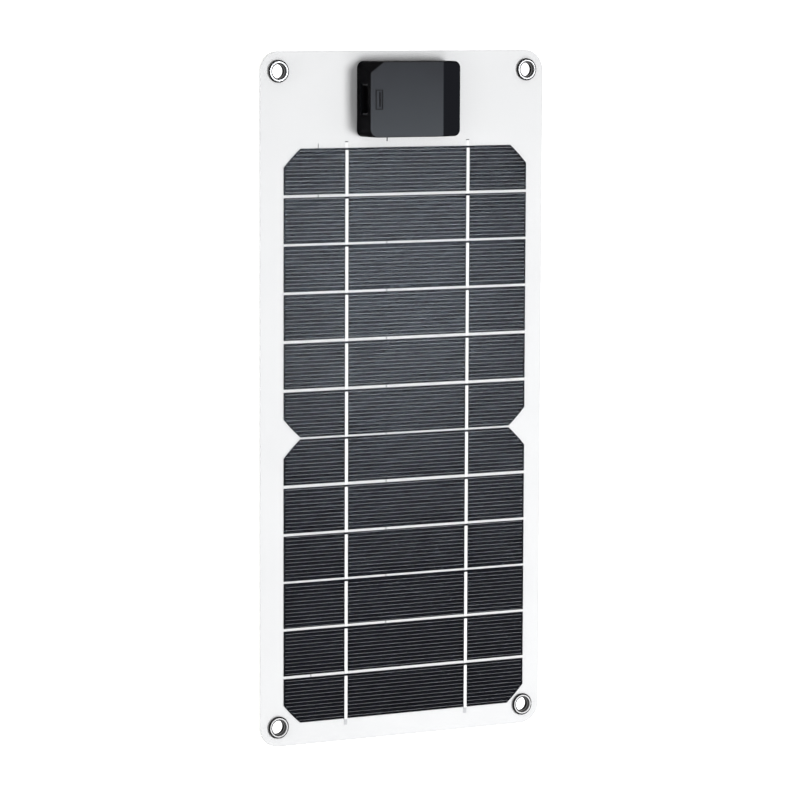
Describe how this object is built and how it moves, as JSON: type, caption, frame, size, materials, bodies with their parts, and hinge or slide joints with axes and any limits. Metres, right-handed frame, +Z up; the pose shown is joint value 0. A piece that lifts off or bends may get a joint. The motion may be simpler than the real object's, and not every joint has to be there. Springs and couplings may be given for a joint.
{
  "type": "solar panel",
  "caption": "Flat upright solar panel with dark cell strips on white, corner eyelets and a black charging box with a port in its side.",
  "frame": {"origin": "centre of the four corner eyelets, on the plane that the rolled backs of the eyelets touch", "axes": "+Z up along the panel to the end with the charging box, +X to the right seen from the front, and the cells and the box face -Y"},
  "size_m": [0.1456, 0.0176, 0.3166],
  "materials": {
    "rear_film": "white polyester film with a fine matt grain",
    "glass_fibre": "cut glass-fibre laminate",
    "milky_seal": "cured sealing sheet, milky in bulk",
    "white_sheet": "white polyester sheet behind the cells, gloss",
    "clear_seal": "clear sealing sheet",
    "clear_film": "clear glossy polyester film",
    "silicon": "dark monocrystalline silicon under an anti-reflection coat",
    "tinned_ribbon": "tinned copper ribbon, bright satin",
    "silver_paste": "printed silver fingers, matt grey",
    "nickel": "bright nickel plate",
    "foam_pad": "black double-sided foam tape",
    "box_plastic": "moulded black plastic, fine spark texture",
    "circuit_green": "green solder mask",
    "port_steel": "plated steel sheet",
    "port_black": "black moulded insulator",
    "contact_gold": "gold-plated contact",
    "chip_black": "black moulding compound",
    "ferrite": "sintered ferrite",
    "copper_wire": "enamelled copper wire",
    "can_aluminium": "plain drawn aluminium can",
    "marking_ink": "thin printed dark ink"
  },
  "bodies": {
    "root": {"rear_film": "rear_film", "rear_board": "glass_fibre", "rear_seal": "milky_seal", "white_sheet": "white_sheet", "front_seal": "clear_seal", "front_film": "clear_film", "cell_01": "silicon", "cell_02": "silicon", "cell_03": "silicon", "cell_04": "silicon", "cell_05": "silicon", "cell_06": "silicon", "cell_07": "silicon", "cell_08": "silicon", "cell_09": "silicon", "cell_10": "silicon", "cell_11": "silicon", "cell_12": "silicon", "interconnect_01": "tinned_ribbon", "interconnect_02": "tinned_ribbon", "interconnect_03": "tinned_ribbon", "interconnect_04": "tinned_ribbon", "interconnect_05": "tinned_ribbon", "interconnect_06": "tinned_ribbon", "interconnect_07": "tinned_ribbon", "interconnect_08": "tinned_ribbon", "interconnect_09": "tinned_ribbon", "interconnect_10": "tinned_ribbon", "interconnect_11": "tinned_ribbon", "top_tabs": "tinned_ribbon", "bottom_tabs": "tinned_ribbon", "top_bus": "tinned_ribbon", "bottom_bus": "tinned_ribbon", "return_ribbon": "tinned_ribbon", "positive_lead": "tinned_ribbon", "negative_lead": "tinned_ribbon", "eyelets": "nickel", "eyelet_washers": "nickel", "box_pad": "foam_pad", "box_base": "box_plastic", "box_cover": "box_plastic", "circuit_board": "circuit_green", "usb_shell": "port_steel", "usb_tongue": "port_black", "usb_contacts": "contact_gold", "regulator_chip": "chip_black", "inductor_core": "ferrite", "inductor_coil": "copper_wire", "input_capacitor": "can_aluminium", "output_capacitor": "can_aluminium", "blocking_diode": "chip_black", "chip_resistors": "chip_black"}
  },
  "joints": []
}
